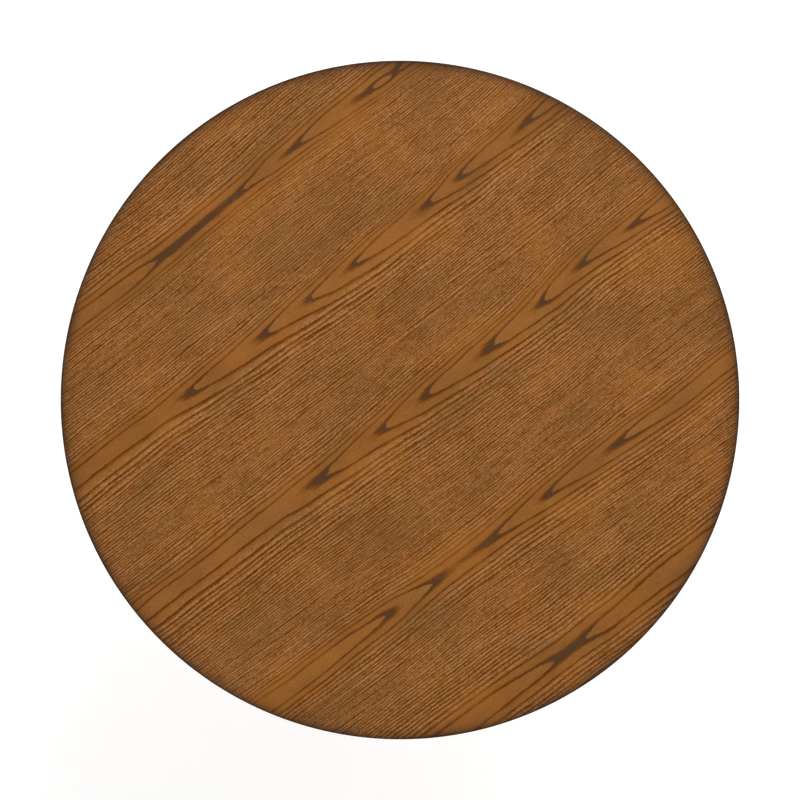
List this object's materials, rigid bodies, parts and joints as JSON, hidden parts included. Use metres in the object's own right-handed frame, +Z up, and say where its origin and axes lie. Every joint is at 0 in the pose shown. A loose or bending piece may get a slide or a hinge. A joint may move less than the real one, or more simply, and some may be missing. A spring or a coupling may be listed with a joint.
{
  "type": "round pedestal table",
  "caption": "Round pedestal table with a brown stained oak veneer top, a curved apron, a turned column and four swept legs on adjustable glides.",
  "frame": {"origin": "on the floor, on the column's axis, under the middle of the round top", "axes": "+Z up; +X along the first leg and the lower beam; +Y along the second leg and the upper beam"},
  "size_m": [1.067, 1.067, 0.762],
  "materials": {
    "stained_oak": "brown stain under satin lacquer",
    "dark_oak_edge": "dark burnished edge under satin lacquer",
    "core_board": "raw particle board, covered on every side",
    "pale_beech": "clear sealed",
    "zinc_steel": "bright zinc plate",
    "black_painted_steel": "black satin paint",
    "dark_nylon": "moulded"
  },
  "bodies": {
    "table": {"veneer_leaf_1": "stained_oak", "veneer_leaf_2": "stained_oak", "veneer_leaf_3": "stained_oak", "veneer_leaf_4": "stained_oak", "veneer_leaf_5": "stained_oak", "top_core": "core_board", "backing_veneer": "stained_oak", "edge_lipping": "dark_oak_edge", "apron_1": "stained_oak", "apron_2": "stained_oak", "apron_3": "stained_oak", "apron_4": "stained_oak", "apron_blocks": "pale_beech", "apron_block_screws": "zinc_steel", "apron_end_screws": "zinc_steel", "apron_clips": "zinc_steel", "clip_screws": "zinc_steel", "lower_beam": "pale_beech", "upper_beam": "pale_beech", "beam_screws": "zinc_steel", "capital": "stained_oak", "capital_screws": "zinc_steel", "column": "stained_oak", "tie_rod": "zinc_steel", "tie_rod_washers": "zinc_steel", "tie_rod_nuts": "zinc_steel", "leg_1": "stained_oak", "leg_2": "stained_oak", "leg_3": "stained_oak", "leg_4": "stained_oak", "leg_dowels": "pale_beech", "hanger_bolts": "zinc_steel", "bolt_washers": "zinc_steel", "bolt_nuts": "zinc_steel", "base_plate": "black_painted_steel", "base_plate_screws": "zinc_steel", "glide_inserts": "zinc_steel"},
    "glide_1_pad": {"glide_pad_1": "dark_nylon"},
    "glide_2_pad": {"glide_pad_2": "dark_nylon"},
    "glide_3_pad": {"glide_pad_3": "dark_nylon"},
    "glide_4_pad": {"glide_pad_4": "dark_nylon"},
    "glide_1_stem": {"glide_stem_1": "zinc_steel"},
    "glide_2_stem": {"glide_stem_2": "zinc_steel"},
    "glide_3_stem": {"glide_stem_3": "zinc_steel"},
    "glide_4_stem": {"glide_stem_4": "zinc_steel"}
  },
  "joints": [
    {"name": "glide_1_height", "type": "slide", "parent": "table", "child": "glide_1_pad", "axis": [0, 0, -1], "range_m": [0, 0.012]},
    {"name": "glide_1_turn", "type": "hinge", "parent": "glide_1_pad", "child": "glide_1_stem", "pos_m": [0.345, 0, 0], "axis": [0, 0, -1], "range_deg": [0, 3460]},
    {"name": "glide_2_height", "type": "slide", "parent": "table", "child": "glide_2_pad", "axis": [0, 0, -1], "range_m": [0, 0.012]},
    {"name": "glide_2_turn", "type": "hinge", "parent": "glide_2_pad", "child": "glide_2_stem", "pos_m": [0, 0.345, 0], "axis": [0, 0, -1], "range_deg": [0, 3460]},
    {"name": "glide_3_height", "type": "slide", "parent": "table", "child": "glide_3_pad", "axis": [0, 0, -1], "range_m": [0, 0.012]},
    {"name": "glide_3_turn", "type": "hinge", "parent": "glide_3_pad", "child": "glide_3_stem", "pos_m": [-0.345, 0, 0], "axis": [0, 0, -1], "range_deg": [0, 3460]},
    {"name": "glide_4_height", "type": "slide", "parent": "table", "child": "glide_4_pad", "axis": [0, 0, -1], "range_m": [0, 0.012]},
    {"name": "glide_4_turn", "type": "hinge", "parent": "glide_4_pad", "child": "glide_4_stem", "pos_m": [0, -0.345, 0], "axis": [0, 0, -1], "range_deg": [0, 3460]}
  ],
  "couplings": [
    {"joint": "glide_1_turn", "follows": "glide_1_height", "rad_per_m": 5026.5},
    {"joint": "glide_2_turn", "follows": "glide_2_height", "rad_per_m": 5026.5},
    {"joint": "glide_3_turn", "follows": "glide_3_height", "rad_per_m": 5026.5},
    {"joint": "glide_4_turn", "follows": "glide_4_height", "rad_per_m": 5026.5}
  ]
}
